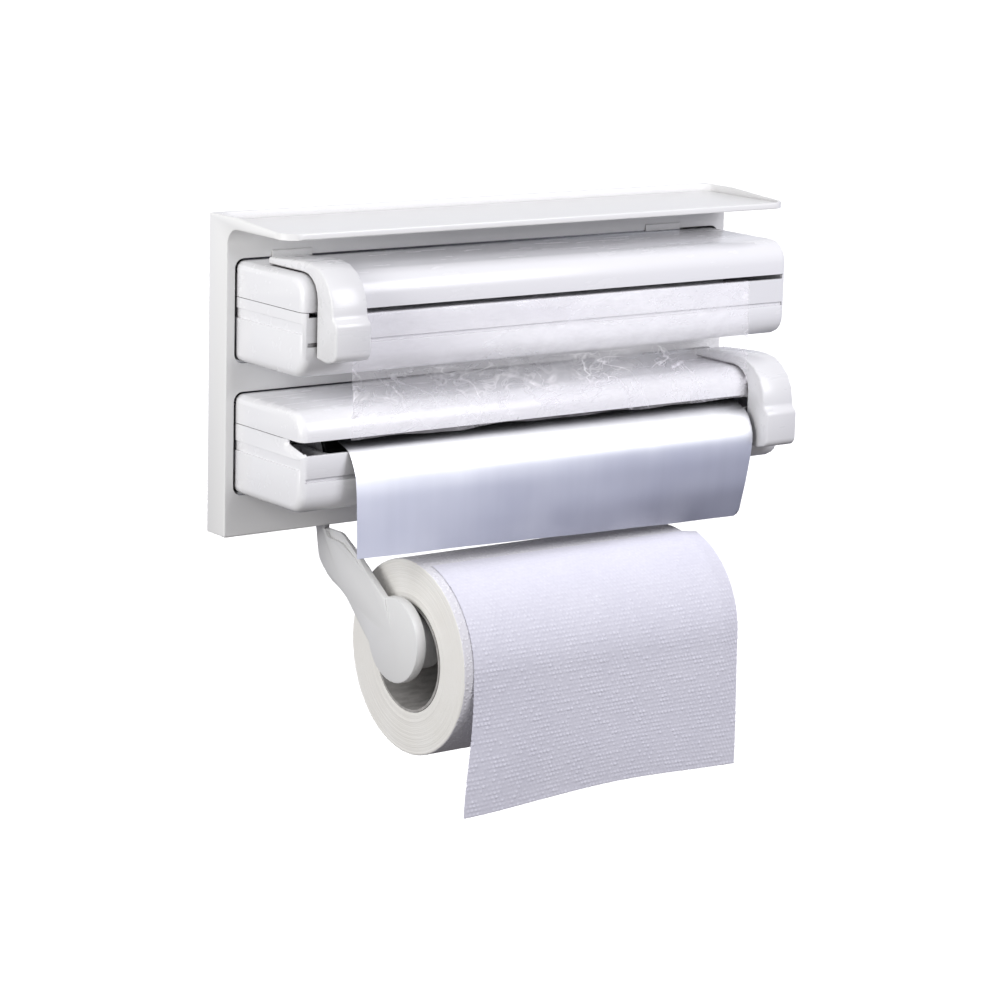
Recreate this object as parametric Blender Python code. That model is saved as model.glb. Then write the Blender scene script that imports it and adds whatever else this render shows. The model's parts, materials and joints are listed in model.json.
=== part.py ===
"""Wall-mounted kitchen dispenser: a frame with a shelf, a cling film cassette, a foil
cassette and two arms that hold a roll of kitchen paper.

Sizes are in millimetres and are turned into metres when a mesh is made. X runs along the
width, +Y into the wall and +Z up. The origin is the middle of the frame's rear face.
"""

import math

import bmesh
import bpy
from mathutils import Matrix, Vector

MM = 0.001
GAP = 0.35  # between two pieces that touch

# Frame
FRAME_HALF_W = 195.0
FRAME_HALF_H = 99.2
FRAME_D = 21.5
FRAME_TOP = 99.5
SHELF_D = 87.0
SHELF_UNDER = 92.0
TRAY_FLOOR = 94.8
LIP_TOP = 96.0
RIM = 2.5
BAY_HALF_W = 189.2
BAY_NEAR = 8.8  # height of a bay's edge next to the middle rail
BAY_FAR = 73.4
BACK_RECESS = 3.5
EAR = 15.0
EAR_T = 3.0
SCREW_X = BAY_HALF_W - EAR / 2 - 0.4
SCREW_Z = BAY_FAR - EAR / 2 - 0.4
CATCHES = (("left", -149.0), ("right", 141.0))
CATCH_W = 28.0
CATCH_REAR = -6.0

# Cassettes
CASE_HALF_W = 187.4
CASE_REAR = -8.0
CASE_FRONT = -96.0
CASE_H = 62.0
CASE_END_ROUND = 5.0
WALL = 2.4
UPPER_BASE = 10.0
LOWER_BASE = -72.0
DECK_FRONT = -16.5  # the box's fixed deck ends here, and the lid starts behind it
LID_REAR = -18.0
HINGE_Y = -19.4
HINGE_UP = 56.0
EAR_TOP = 58.8  # the hinge ear's top, above the cassette's base
HINGE_R = 1.4
CRADLE_X = 160.0
CRADLE_T = 2.5
ROLL_Y = -50.0
ROLL_UP = 27.5
SHEET_HALF_W = 154.0

# Slider
SLIDER_OUT = 180.0
SLIDER_W = 25.0
SLIDER_INNER = -98.3

# Arms and kitchen paper
ARM_X = 118.0  # the arm's pivot, from the middle
ARM_Z = -88.0
ARM_T = 5.0
ARM_TOP = -101.6  # the arm's shoulder, just under the frame
ARM_LEAN = 6.5  # how far inwards the arm leads from its pivot to its disc
SHOULDER_DEPTH = 2.6
PLUG_Y = -87.5
PLUG_Z = -159.3
PLUG_R = 20.0
DISC_R = 27.0
DISC_IN = 107.0
DISC_T = 7.2
PLUG_IN = 88.0
PAPER_Y = -87.5
PAPER_Z = -171.5
PAPER_R = 61.5
CORE_R = 33.0
CORE_T = 1.5
PAPER_HALF_W = 103.0
TAIL_BOTTOM = -259.0

WHITE = ("white_plastic", (0.83, 0.84, 0.84), 0.3, 0.0)
STEEL = ("steel", (0.62, 0.62, 0.63), 0.3, 1.0)
FILM = ("film", (0.86, 0.87, 0.9), 0.15, 0.0)
FOIL = ("foil", (0.78, 0.79, 0.83), 0.28, 1.0)
CARD = ("card", (0.42, 0.4, 0.38), 0.9, 0.0)
PAPER = ("paper", (0.9, 0.9, 0.92), 0.95, 0.0)


# ---------------------------------------------------------------- shapes


def clear_scene():
    for obj in list(bpy.data.objects):
        bpy.data.objects.remove(obj, do_unlink=True)


def make_material(name, look):
    _, colour, roughness, metallic = look
    material = bpy.data.materials.new(name)
    material.use_nodes = True
    shader = material.node_tree.nodes["Principled BSDF"]
    shader.inputs["Base Color"].default_value = (*colour, 1.0)
    shader.inputs["Roughness"].default_value = roughness
    shader.inputs["Metallic"].default_value = metallic
    return material


def rounded(corners, step=18.0):
    """The outline through corners (a, b, radius), with each round corner as an arc."""
    outline = []
    count = len(corners)
    for i, (a, b, radius) in enumerate(corners):
        here = Vector((a, b))
        before = Vector(corners[i - 1][:2]) - here
        after = Vector(corners[(i + 1) % count][:2]) - here
        if radius <= 0:
            outline.append(tuple(here))
            continue
        half = before.angle(after) / 2
        reach = radius / math.tan(half)
        centre = here + (before.normalized() + after.normalized()).normalized() * (
            radius / math.sin(half)
        )
        start = here + before.normalized() * reach - centre
        end = here + after.normalized() * reach - centre
        turn = start.angle_signed(end)
        parts = max(1, round(abs(math.degrees(turn)) / step))
        for k in range(parts + 1):
            spun = Matrix.Rotation(-turn * k / parts, 2) @ start
            outline.append(tuple(centre + spun))
    return outline


def shrunk(corners, by):
    """The corners of the outline that lies this far inside a counter-clockwise one."""
    moved = []
    count = len(corners)
    for i, (a, b, radius) in enumerate(corners):
        here = Vector((a, b))
        arriving = (here - Vector(corners[i - 1][:2])).normalized()
        leaving = (Vector(corners[(i + 1) % count][:2]) - here).normalized()
        inwards = Vector((-arriving.y - leaving.y, arriving.x + leaving.x)).normalized()
        slant = inwards.dot(Vector((-arriving.y, arriving.x)))
        place = here + inwards * by / slant
        hollow_corner = arriving.cross(leaving) < 0
        inner = radius + by if hollow_corner else max(radius - by, 0.25)
        moved.append((place.x, place.y, inner if radius > 0 else 0.0))
    return moved


def ribbon(path, thickness):
    """The closed outline of a strip of this thickness along an open path."""
    points = [Vector(p) for p in path]
    sides = ([], [])
    for i, point in enumerate(points):
        ahead = points[min(i + 1, len(points) - 1)] - points[max(i - 1, 0)]
        normal = Vector((-ahead.y, ahead.x)).normalized() * thickness / 2
        sides[0].append(tuple(point + normal))
        sides[1].append(tuple(point - normal))
    return sides[0] + sides[1][::-1]


AXES = {
    "X": lambda a, b, along: (along, a, b),
    "Y": lambda a, b, along: (a, along, b),
    "Z": lambda a, b, along: (a, b, along),
}


def add_object(name, mesh):
    data = bpy.data.meshes.new(name)
    mesh.to_mesh(data)
    mesh.free()
    obj = bpy.data.objects.new(name, data)
    bpy.context.scene.collection.objects.link(obj)
    return obj


def prism(name, outline, low, high, axis="X"):
    """A mesh object: the outline, in the other two axes, pushed along axis."""
    mesh = bmesh.new()
    place = AXES[axis]
    ends = []
    for along in (low, high):
        ring = [mesh.verts.new(Vector(place(a, b, along)) * MM) for a, b in outline]
        ends.append(mesh.faces.new(ring))
    bmesh.ops.bridge_loops(mesh, edges=[e for f in ends for e in f.edges])
    bmesh.ops.recalc_face_normals(mesh, faces=mesh.faces)
    return add_object(name, mesh)


def pillow(name, corners, low, high, radius, parts=3):
    """A prism along X whose end edges are rounded."""
    rings = []
    for k in range(parts + 1):
        turn = math.pi / 2 * k / parts
        inset = radius * (1 - math.sin(turn))
        rings.append((low + radius * (1 - math.cos(turn)), inset))
    rings += [(low + high - along, inset) for along, inset in reversed(rings)]
    mesh = bmesh.new()
    loops = []
    for along, inset in rings:
        outline = rounded(shrunk(corners, inset))
        loops.append([mesh.verts.new(Vector((along, a, b)) * MM) for a, b in outline])
    for first, second in zip(loops, loops[1:]):
        for i in range(len(first)):
            mesh.faces.new((first[i - 1], first[i], second[i], second[i - 1]))
    mesh.faces.new(loops[0])
    mesh.faces.new(loops[-1])
    bmesh.ops.recalc_face_normals(mesh, faces=mesh.faces)
    return add_object(name, mesh)


def box(name, low, high):
    """A block between two corners."""
    outline = [
        (low[1], low[2]),
        (high[1], low[2]),
        (high[1], high[2]),
        (low[1], high[2]),
    ]
    return prism(name, outline, low[0], high[0])


def circle(a, b, radius, sides=32):
    turns = [math.tau * (k + 0.5) / sides for k in range(sides)]
    return [(a + radius * math.cos(t), b + radius * math.sin(t)) for t in turns]


def tube(name, y, z, inner, outer, low, high, sides=48):
    """A ring about an axis along X."""
    obj = prism(name, circle(y, z, outer, sides), low, high)
    cut(obj, prism(name + "_bore", circle(y, z, inner, sides), low - 1, high + 1))
    return obj


def boolean(obj, other, operation):
    step = obj.modifiers.new(other.name, "BOOLEAN")
    step.operation = operation
    step.solver = "EXACT"
    step.object = other
    other.hide_render = True
    other.display_type = "WIRE"
    return obj


def cut(obj, *others):
    for other in others:
        boolean(obj, other, "DIFFERENCE")
    return obj


def join(obj, *others):
    for other in others:
        boolean(obj, other, "UNION")
    return obj


def soften(obj, width, segments=2, angle=40.0):
    """Rounds the edges that are sharper than angle."""
    step = obj.modifiers.new("soften", "BEVEL")
    step.width = width * MM
    step.segments = segments
    step.limit_method = "ANGLE"
    step.angle_limit = math.radians(angle)
    return obj


def finish(obj, look):
    obj.data.materials.append(make_material(obj.name, look))
    obj.data.shade_smooth()
    obj.data.set_sharp_from_angle(angle=math.radians(35))
    return obj


def set_origin(obj, x, y, z):
    """Moves the object's origin to its joint's axis and leaves its shape where it is."""
    place = Vector((x, y, z)) * MM
    obj.data.transform(Matrix.Translation(-place))
    obj.location = place
    return obj


# ---------------------------------------------------------------- frame


def frame_side():
    """The frame and shelf seen from the side: (y, z, radius) at each corner."""
    return [
        (0.0, -FRAME_HALF_H, 1.0),
        (0.0, FRAME_TOP, 1.0),
        (-32.0, FRAME_TOP, 14.0),
        (-80.0, LIP_TOP, 14.0),
        (-SHELF_D, LIP_TOP, 1.2),
        (-SHELF_D, SHELF_UNDER, 1.0),
        (-FRAME_D, SHELF_UNDER, 10.0),
        (-FRAME_D, -FRAME_HALF_H, 1.5),
    ]


def rectangle(low_a, low_b, high_a, high_b, radius):
    corners = ((low_a, low_b), (high_a, low_b), (high_a, high_b), (low_a, high_b))
    return rounded([(a, b, radius) for a, b in corners])


def bay(name, low, high):
    outline = rectangle(-BAY_HALF_W, low, BAY_HALF_W, high, 6.0)
    return prism(name, outline, -60.0, 5.0, "Y")


def wall_frame():
    frame = pillow("wall_frame", frame_side(), -FRAME_HALF_W, FRAME_HALF_W, 1.4, 2)
    plan = [
        (-FRAME_HALF_W - 5, 5.0, 0.0),
        (-FRAME_HALF_W - 5, -60.0, 0.0),
        (-FRAME_HALF_W - 0.01, -65.0, 0.0),
        (-FRAME_HALF_W - 0.01, -SHELF_D - 0.01, 14.0),
        (FRAME_HALF_W + 0.01, -SHELF_D - 0.01, 14.0),
        (FRAME_HALF_W + 0.01, -65.0, 0.0),
        (FRAME_HALF_W + 5, -60.0, 0.0),
        (FRAME_HALF_W + 5, 5.0, 0.0),
    ]
    boolean(frame, prism("plan_guide", rounded(plan, 15), -150, 150, "Z"), "INTERSECT")
    tray = rectangle(
        -FRAME_HALF_W + RIM, -SHELF_D + RIM, FRAME_HALF_W - RIM, -RIM - 1.5, 10.0
    )
    cut(frame, prism("tray_cutter", tray, TRAY_FLOOR, 120.0, "Z"))
    cut(frame, bay("upper_bay_cutter", BAY_NEAR, BAY_FAR))
    cut(frame, bay("lower_bay_cutter", -BAY_FAR, -BAY_NEAR))
    add_ears(frame)
    recess_back(frame)
    for side, name in ((-1, "left"), (1, "right")):
        cut(frame, arm_pocket(name + "_pocket_cutter", side))
        pin_hole = circle(side * ARM_X, ARM_Z, 1.9, 16)
        cut(frame, prism(name + "_pin_cutter", pin_hole, -20.4, -1.6, "Y"))
    for name, middle in CATCHES:
        for level, low, high in (("upper", 70.0, 77.2), ("lower", -77.2, -70.0)):
            cutter = box(
                f"{level}_{name}_notch_cutter",
                (middle - CATCH_W / 2 - GAP, -30.0, low),
                (middle + CATCH_W / 2 + GAP, CATCH_REAR + GAP, high),
            )
            cut(frame, cutter)
    return finish(frame, WHITE)


def add_ears(frame):
    """Four flat lugs behind the cassettes, for the wall screws."""
    for side, name in ((-1, "left"), (1, "right")):
        for level, up in (("lower", -1), ("upper", 1)):
            a = sorted((side * (BAY_HALF_W + 2), side * (BAY_HALF_W - EAR)))
            b = sorted((up * (BAY_FAR + 2), up * (BAY_FAR - EAR)))
            outline = rectangle(a[0], b[0], a[1], b[1], 1.5)
            join(frame, prism(f"{level}_{name}_ear_guide", outline, -EAR_T, -0.02, "Y"))
            hole = circle(side * SCREW_X, up * SCREW_Z, 2.4, 16)
            cut(frame, prism(f"{level}_{name}_ear_cutter", hole, -9.0, 3.0, "Y"))


def recess_back(frame):
    """Shallow recesses that leave ribs on the frame's rear face."""
    rows = (
        ("top", 77.0, 96.0, ((-190, -130), (-126, -66), (-62, -2))),
        ("middle", -5.4, 5.4, ((-190, -106), (-102, -18))),
        ("bottom", -96.0, -77.0, ((-190, -134), (-103, -54), (-50, -2))),
    )
    for row, low, high, spans in rows:
        for k, (start, end) in enumerate(spans):
            for mirrored, side in ((False, "left"), (True, "right")):
                a, b = (-end, -start) if mirrored else (start, end)
                name = f"{row}_{side}_{k}_recess_cutter"
                cut(frame, box(name, (a, -BACK_RECESS, low), (b, 2.0, high)))


def arm_pocket(name, side):
    a = sorted((side * (ARM_X - 5.0), side * (ARM_X + 9.5)))
    return box(name, (a[0], -19.2, -105.0), (a[1], -3.8, -78.5))


def wall_screw(name, x, z):
    """A pan-head screw whose shank stops at the wall."""
    radius, head = 2.0, 4.0
    profile = [
        (0.0, -0.3),
        (radius, -0.3),
        (radius, -EAR_T - GAP),
        (head, -EAR_T - GAP),
        (head, -EAR_T - 1.6),
        (head - 0.9, -EAR_T - 2.5),
        (0.0, -EAR_T - 2.8),
    ]
    mesh = bmesh.new()
    ring = [mesh.verts.new((r * MM, y * MM, 0.0)) for r, y in profile]
    edges = [mesh.edges.new(pair) for pair in zip(ring, ring[1:])]
    bmesh.ops.spin(
        mesh,
        geom=ring + edges,
        axis=(0, 1, 0),
        cent=(0, 0, 0),
        angle=math.tau,
        steps=16,
    )
    bmesh.ops.remove_doubles(mesh, verts=mesh.verts, dist=1e-6)
    bmesh.ops.recalc_face_normals(mesh, faces=mesh.faces)
    screw = add_object(name, mesh)
    screw.location = (x * MM, 0.0, z * MM)
    slot = box(
        name + "_slot_cutter", (x - 5, -9.0, z - 0.5), (x + 5, -EAR_T - 1.9, z + 0.5)
    )
    return finish(cut(screw, slot), STEEL)


def cassette_catch(name, middle, up):
    """A snap-in block with a nose that holds a cassette in its bay."""
    nose = [
        (CATCH_REAR, up * 76.7, 0.0),
        (-22.6, up * 76.7, 0.8),
        (-22.6, up * 72.5, 0.5),
        (-20.6, up * 72.4, 0.5),
        (-18.0, up * 73.6, 0.0),
        (CATCH_REAR, up * 73.6, 0.0),
    ]
    catch = prism(name, rounded(nose), middle - CATCH_W / 2, middle + CATCH_W / 2)
    return finish(catch, WHITE)


def build_frame():
    wall_frame()
    for level, up in (("upper", 1), ("lower", -1)):
        for side, name in ((-1, "left"), (1, "right")):
            wall_screw(f"wall_screw_{level}_{name}", side * SCREW_X, up * SCREW_Z)
        for name, middle in CATCHES:
            cassette_catch(f"cassette_catch_{level}_{name}", middle, up)


# ---------------------------------------------------------------- cassettes


def whole_case(base):
    """A closed cassette seen from the end."""
    return [
        (CASE_REAR, base, 3.0),
        (CASE_REAR, base + CASE_H, 2.0),
        (CASE_FRONT, base + CASE_H, 14.0),
        (CASE_FRONT, base, 12.0),
    ]


def sloped_case(base):
    """The same with its ends cut down towards a low front rim."""
    return [
        (CASE_REAR, base, 3.0),
        (CASE_REAR, base + CASE_H, 2.0),
        (-78.5, base + CASE_H, 0.0),
        (-78.5, base + 41.2, 1.0),
        (CASE_FRONT, base + 36.9, 2.0),
        (CASE_FRONT, base, 12.0),
    ]


def cradle_rib(name, base, side):
    """A wall across the box with a notch where a roll's spigot turns."""
    outline = [
        (CASE_REAR - 1.0, base + 1.0),
        (CASE_REAR - 1.0, base + ROLL_UP + 6.0),
        (ROLL_Y + 6.8, base + ROLL_UP + 6.0),
    ]
    for k in range(9):
        turn = -math.pi * k / 8
        a = ROLL_Y + 6.8 * math.cos(turn)
        outline.append((a, base + ROLL_UP + 6.8 * math.sin(turn)))
    outline += [
        (ROLL_Y - 6.8, base + ROLL_UP + 6.0),
        (-83.0, base + ROLL_UP + 6.0),
        (-83.0, base + 1.0),
    ]
    start = side * CRADLE_X
    return prism(name, outline, *sorted((start, start + side * CRADLE_T)))


def cassette_box(name, base, seam, rim, side_view):
    """The lower half: a trough with a rear deck, two hinge ears and two cradle ribs."""
    shell = pillow(name, side_view, -CASE_HALF_W, CASE_HALF_W, CASE_END_ROUND)
    top = base + CASE_H + 5
    cut(
        shell,
        box(name + "_seam_cutter", (-200, -120, base + seam), (200, DECK_FRONT, top)),
        box(name + "_rim_cutter", (-183.5, -120, base + rim), (183.5, -80, top)),
    )
    hollow = rounded(shrunk(whole_case(base), WALL))
    cut(shell, prism(name + "_hollow_cutter", hollow, -184.4, 184.4))
    for side, word in ((-1, "left"), (1, "right")):
        join(shell, cradle_rib(f"{name}_{word}_rib_guide", base, side))
        ear = [
            (CASE_REAR - 1.0, base + 30.0, 0.0),
            (CASE_REAR - 1.0, base + EAR_TOP, 0.0),
            (-23.0, base + EAR_TOP, 3.0),
            (-23.0, base + 30.0, 0.0),
        ]
        a = sorted((side * 181.6, side * 184.8))
        join(shell, prism(f"{name}_{word}_ear_guide", rounded(ear), *a))
        hole = circle(HINGE_Y, base + HINGE_UP, HINGE_R + GAP, 16)
        a = sorted((side * 180.0, side * 190.0))
        cut(shell, prism(f"{name}_{word}_hinge_cutter", hole, *a))
    groove = [
        (-99.0, base + 18.8),
        (-94.7, base + 19.8),
        (-94.7, base + 21.8),
        (-99.0, base + 23.0),
    ]
    cut(shell, prism(name + "_groove_cutter", groove, -184.0, 184.0))
    add_end_steps(shell, name, base)
    return finish(shell, WHITE)


def add_end_steps(shell, name, base):
    """A shallow band pressed into each end of the box."""
    for side, word in ((-1, "left"), (1, "right")):
        a = sorted((side * (CASE_HALF_W - 0.8), side * 195.0))
        low, high = (a[0], -120.0, base + 27.4), (a[1], 0.0, base + 33.6)
        cut(shell, box(f"{name}_{word}_step_cutter", low, high))


def cassette_lid(name, base, seam):
    """The upper half: a shell that turns on two pins."""
    lid = pillow(name, whole_case(base), -CASE_HALF_W, CASE_HALF_W, CASE_END_ROUND)
    under = box(
        name + "_seam_cutter", (-200, -120, base - 5), (200, 5, base + seam + GAP)
    )
    behind = box(
        name + "_deck_cutter", (-200, LID_REAR, base), (200, 5, base + CASE_H + 5)
    )
    hollow = rounded(shrunk(whole_case(base), WALL))
    cut(lid, under, behind)
    cut(lid, prism(name + "_hollow_cutter", hollow, -185.2, 185.2))
    for side, word in ((-1, "left"), (1, "right")):
        hole = circle(HINGE_Y, base + HINGE_UP, HINGE_R + GAP, 16)
        a = sorted((side * 183.0, side * 190.0))
        cut(lid, prism(f"{name}_{word}_hinge_cutter", hole, *a))
    return set_origin(finish(lid, WHITE), 0.0, HINGE_Y, base + HINGE_UP)


def hinge_pin(name, base, side):
    a = sorted((side * 182.0, side * 187.0))
    outline = circle(HINGE_Y, base + HINGE_UP, HINGE_R, 16)
    return finish(prism(name, outline, *a), STEEL)


def build_roll(prefix, base, look, outer):
    """A roll on its core, with a plug in each end that turns in the cradle ribs."""
    z = base + ROLL_UP
    core = tube(prefix + "_core", ROLL_Y, z, 15.0, 17.0, -SHEET_HALF_W, SHEET_HALF_W, 36)
    finish(core, CARD)
    wound = tube(
        prefix + "_roll", ROLL_Y, z, 17.3, outer, -SHEET_HALF_W + 0.5, SHEET_HALF_W - 0.5, 36
    )
    finish(wound, look)
    for side, word in ((-1, "left"), (1, "right")):
        name = f"{prefix}_plug_{word}"
        a = sorted((side * (SHEET_HALF_W - 14), side * (SHEET_HALF_W + 3.4)))
        plug = prism(name, circle(ROLL_Y, z, 14.3, 24), *a)
        a = sorted((side * (SHEET_HALF_W + GAP), side * (SHEET_HALF_W + 3)))
        join(plug, prism(name + "_flange_guide", circle(ROLL_Y, z, 18.5, 24), *a))
        a = sorted((side * SHEET_HALF_W, side * 168.0))
        join(plug, prism(name + "_spigot_guide", circle(ROLL_Y, z, 6.0, 16), *a))
        set_origin(finish(plug, WHITE), 0.0, ROLL_Y, z)
    for obj in (core, wound):
        set_origin(obj, 0.0, ROLL_Y, z)


def slider_side(base):
    """The slider seen from the end: it wraps the lid's top and front."""
    return [
        (-44.0, base + CASE_H + 0.5, 0.0),
        (-44.0, base + 67.0, 1.5),
        (-80.0, base + 69.3, 20.0),
        (-115.5, base + 69.3, 28.0),
        (-116.0, base + 38.6, 4.0),
        (-120.0, base + 36.0, 4.0),
        (-120.0, base + 14.0, 5.0),
        (-109.0, base + 11.6, 5.0),
        (SLIDER_INNER, base + 13.0, 1.5),
        (SLIDER_INNER, base + CASE_H + 0.5, 15.0),
    ]


def build_slider(prefix, base, seam, side):
    """The cutter: an outer grip, a runner that reaches through the slot, and a blade."""
    edges = sorted((side * SLIDER_OUT, side * (SLIDER_OUT - SLIDER_W)))
    grip = pillow(prefix + "_slider", slider_side(base), *edges, 1.5, 2)
    middle = sum(edges) / 2
    under = base + seam - GAP
    pocket = box(
        prefix + "_runner_pocket_cutter",
        (middle - 8 - GAP, -103.0 - GAP, under - 1.4 - GAP),
        (middle + 8 + GAP, -95.0, under + GAP),
    )
    cut(grip, pocket)
    finish(grip, WHITE)
    hook = [
        (-103.0, under - 1.4),
        (-103.0, under),
        (-93.0, under),
        (-93.0, under + 7.0),
        (-86.5, under + 7.0),
        (-86.5, under - 1.4),
    ]
    runner = prism(prefix + "_slider_runner", hook, middle - 8, middle + 8)
    blade_slot = box(
        prefix + "_blade_slot_cutter",
        (middle - 5.3, -90.3, under - 3.0),
        (middle + 5.3, -89.2, under + 5.0),
    )
    cut(runner, blade_slot)
    finish(runner, WHITE)
    tooth = [
        (middle - 5, under + 4.7),
        (middle - 5, under - 3.0),
        (middle, under - 6.0),
        (middle + 5, under - 3.0),
        (middle + 5, under + 4.7),
    ]
    blade = prism(prefix + "_slider_blade", tooth, -90.0, -89.5, "Y")
    finish(blade, STEEL)


def film_tail():
    """The film that leaves the upper slot and hangs in front of both cassettes."""
    base = UPPER_BASE
    path = rounded(
        [
            (-80.0, base + 37.7, 0.0),
            (-96.9, base + 37.7, 1.0),
            (-97.1, -31.0, 0.0),
        ]
    )
    tail = prism("cling_film_tail", ribbon(path, 0.5), -153.5, 154.5)
    return finish(tail, FILM)


def foil_tail():
    """The foil that rolls over the lower box's rim and hangs below the frame."""
    path = rounded(
        [
            (-68.0, -26.4, 0.0),
            (-84.0, -28.5, 10.0),
            (-98.0, -36.2, 10.0),
            (-108.3, -47.5, 12.0),
            (-108.0, -66.0, 40.0),
            (-103.8, -105.0, 0.0),
        ]
    )
    tail = prism("foil_tail", ribbon(path, 0.5), -157.0, 151.0)
    return finish(tail, FOIL)


def build_cassette(prefix, base, seam, rim, side_view, slider_at):
    cassette_box(prefix + "_box", base, seam, rim, side_view)
    cassette_lid(prefix + "_lid", base, seam)
    for side, word in ((-1, "left"), (1, "right")):
        hinge_pin(f"{prefix}_hinge_pin_{word}", base, side)
    build_slider(prefix, base, seam, slider_at)


# ---------------------------------------------------------------- arms and paper


def arm_side():
    """The arm seen from the side: a tongue in the frame, and a blade down to the disc."""
    return [
        (-5.0, -81.0, 1.5),
        (-18.0, -81.0, 1.5),
        (-18.0, ARM_TOP, 0.0),
        (-35.0, ARM_TOP, 8.0),
        (-55.0, -113.5, 14.0),
        (-79.0, -134.5, 0.0),
        (-90.0, -160.0, 0.0),
        (-68.0, -172.0, 0.0),
        (-57.0, -163.0, 10.0),
        (-33.0, -141.0, 22.0),
        (-18.0, -134.5, 13.0),
        (-8.7, -124.0, 12.0),
        (-8.7, ARM_TOP, 0.0),
        (-5.0, ARM_TOP, 0.0),
    ]


def shoulder_side():
    """The sunk corner of the arm's outer face, between its tongue and its blade."""
    return [
        (-20.0, -95.0, 0.0),
        (-20.0, -106.5, 5.0),
        (-37.5, -107.6, 8.0),
        (-49.0, -113.4, 14.0),
        (-66.0, -125.0, 0.0),
        (-80.0, -110.0, 0.0),
        (-60.0, -95.0, 0.0),
    ]


def lean(obj, side):
    """Leads the arm inwards from its pivot to the disc, smoothly with height."""
    for vertex in obj.data.vertices:
        down = min(1.0, max(0.0, (-101.0 - vertex.co.z / MM) / 50.0))
        vertex.co.x -= side * ARM_LEAN * MM * down * down * (3 - 2 * down)


def roll_arm(name, side):
    inner, outer = side * (ARM_X - ARM_T / 2), side * (ARM_X + ARM_T / 2)
    arm = pillow(name, arm_side(), *sorted((inner, outer)), 1.0, 2)
    lean(arm, side)
    disc_x = sorted((side * DISC_IN, side * (DISC_IN + DISC_T)))
    disc = prism(name + "_disc_guide", circle(PLUG_Y, PLUG_Z, DISC_R, 40), *disc_x)
    soften(disc, 1.2, 2)
    plug_x = sorted((side * PLUG_IN, side * (DISC_IN + 2)))
    plug = prism(name + "_plug_guide", circle(PLUG_Y, PLUG_Z, PLUG_R, 32), *plug_x)
    soften(plug, 2.0, 1)
    join(arm, disc, plug)
    sunk = sorted((outer - side * SHOULDER_DEPTH, outer + side * 5.0))
    cut(arm, prism(name + "_shoulder_cutter", rounded(shoulder_side()), *sunk))
    hollow = sorted((side * (PLUG_IN - 2), side * (DISC_IN - 1)))
    bore = circle(PLUG_Y, PLUG_Z, PLUG_R - 2.5, 24)
    cut(arm, prism(name + "_plug_cutter", bore, *hollow))
    pivot = circle(side * ARM_X, ARM_Z, 1.8, 16)
    cut(arm, prism(name + "_pivot_cutter", pivot, -30.0, 0.0, "Y"))
    return set_origin(finish(arm, WHITE), side * ARM_X, 0.0, ARM_Z)


def build_arms():
    for side, word in ((-1, "left"), (1, "right")):
        roll_arm("roll_arm_" + word, side)
        outline = circle(side * ARM_X, ARM_Z, 1.5, 16)
        pin = prism("arm_pivot_pin_" + word, outline, -20.0, -2.0, "Y")
        finish(pin, STEEL)


def build_paper():
    core = tube(
        "paper_core",
        PAPER_Y,
        PAPER_Z,
        CORE_R,
        CORE_R + CORE_T,
        -PAPER_HALF_W + 0.6,
        PAPER_HALF_W - 0.6,
        64,
    )
    wound = tube(
        "paper_roll",
        PAPER_Y,
        PAPER_Z,
        CORE_R + CORE_T + 0.3,
        PAPER_R,
        -PAPER_HALF_W,
        PAPER_HALF_W,
        72,
    )
    for obj, look in ((core, CARD), (wound, PAPER)):
        set_origin(finish(obj, look), 0.0, PAPER_Y, PAPER_Z)
    front = PAPER_Y - PAPER_R
    path = [
        (front - 0.8, PAPER_Z + 6.0),
        (front - 0.9, PAPER_Z - 20.0),
        (front + 0.4, TAIL_BOTTOM),
    ]
    tail = prism("paper_tail", ribbon(path, 0.6), -96.0, 113.0)
    finish(tail, PAPER)


def main():
    clear_scene()
    build_frame()
    build_cassette("upper", UPPER_BASE, 40.0, 37.2, whole_case(UPPER_BASE), -1)
    build_cassette("lower", LOWER_BASE, 44.0, 36.0, sloped_case(LOWER_BASE), 1)
    build_roll("cling_film", UPPER_BASE, FILM, 20.5)
    build_roll("foil", LOWER_BASE, FOIL, 20.5)
    film_tail()
    foil_tail()
    build_arms()
    build_paper()


main()
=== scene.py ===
"""Looks of the wall-mounted kitchen dispenser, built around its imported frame.

Lengths are in metres, and in millimetres where a name or a call says mm. X runs along the
width, +Y into the wall and +Z up. The origin is the middle of the frame's rear face.
"""

import json
import math

import bmesh
import bpy
import numpy as np
from mathutils import Matrix, Vector


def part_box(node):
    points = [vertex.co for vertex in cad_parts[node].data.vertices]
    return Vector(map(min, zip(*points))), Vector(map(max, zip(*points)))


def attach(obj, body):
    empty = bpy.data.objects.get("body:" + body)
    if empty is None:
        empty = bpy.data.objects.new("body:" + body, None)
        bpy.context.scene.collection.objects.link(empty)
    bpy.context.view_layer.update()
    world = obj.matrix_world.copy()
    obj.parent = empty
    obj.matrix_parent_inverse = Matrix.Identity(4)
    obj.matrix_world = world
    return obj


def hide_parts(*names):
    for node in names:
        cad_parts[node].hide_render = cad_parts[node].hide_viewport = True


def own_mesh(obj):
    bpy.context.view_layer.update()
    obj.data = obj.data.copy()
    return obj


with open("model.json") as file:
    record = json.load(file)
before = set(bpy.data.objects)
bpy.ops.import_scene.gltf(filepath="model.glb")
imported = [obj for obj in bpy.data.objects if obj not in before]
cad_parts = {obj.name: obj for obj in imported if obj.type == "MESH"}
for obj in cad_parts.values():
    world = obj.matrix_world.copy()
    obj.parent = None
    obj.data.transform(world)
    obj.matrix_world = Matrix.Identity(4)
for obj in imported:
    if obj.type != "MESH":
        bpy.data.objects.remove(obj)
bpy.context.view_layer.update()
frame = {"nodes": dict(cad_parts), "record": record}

MM = 0.001
NODES = frame["nodes"]
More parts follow.
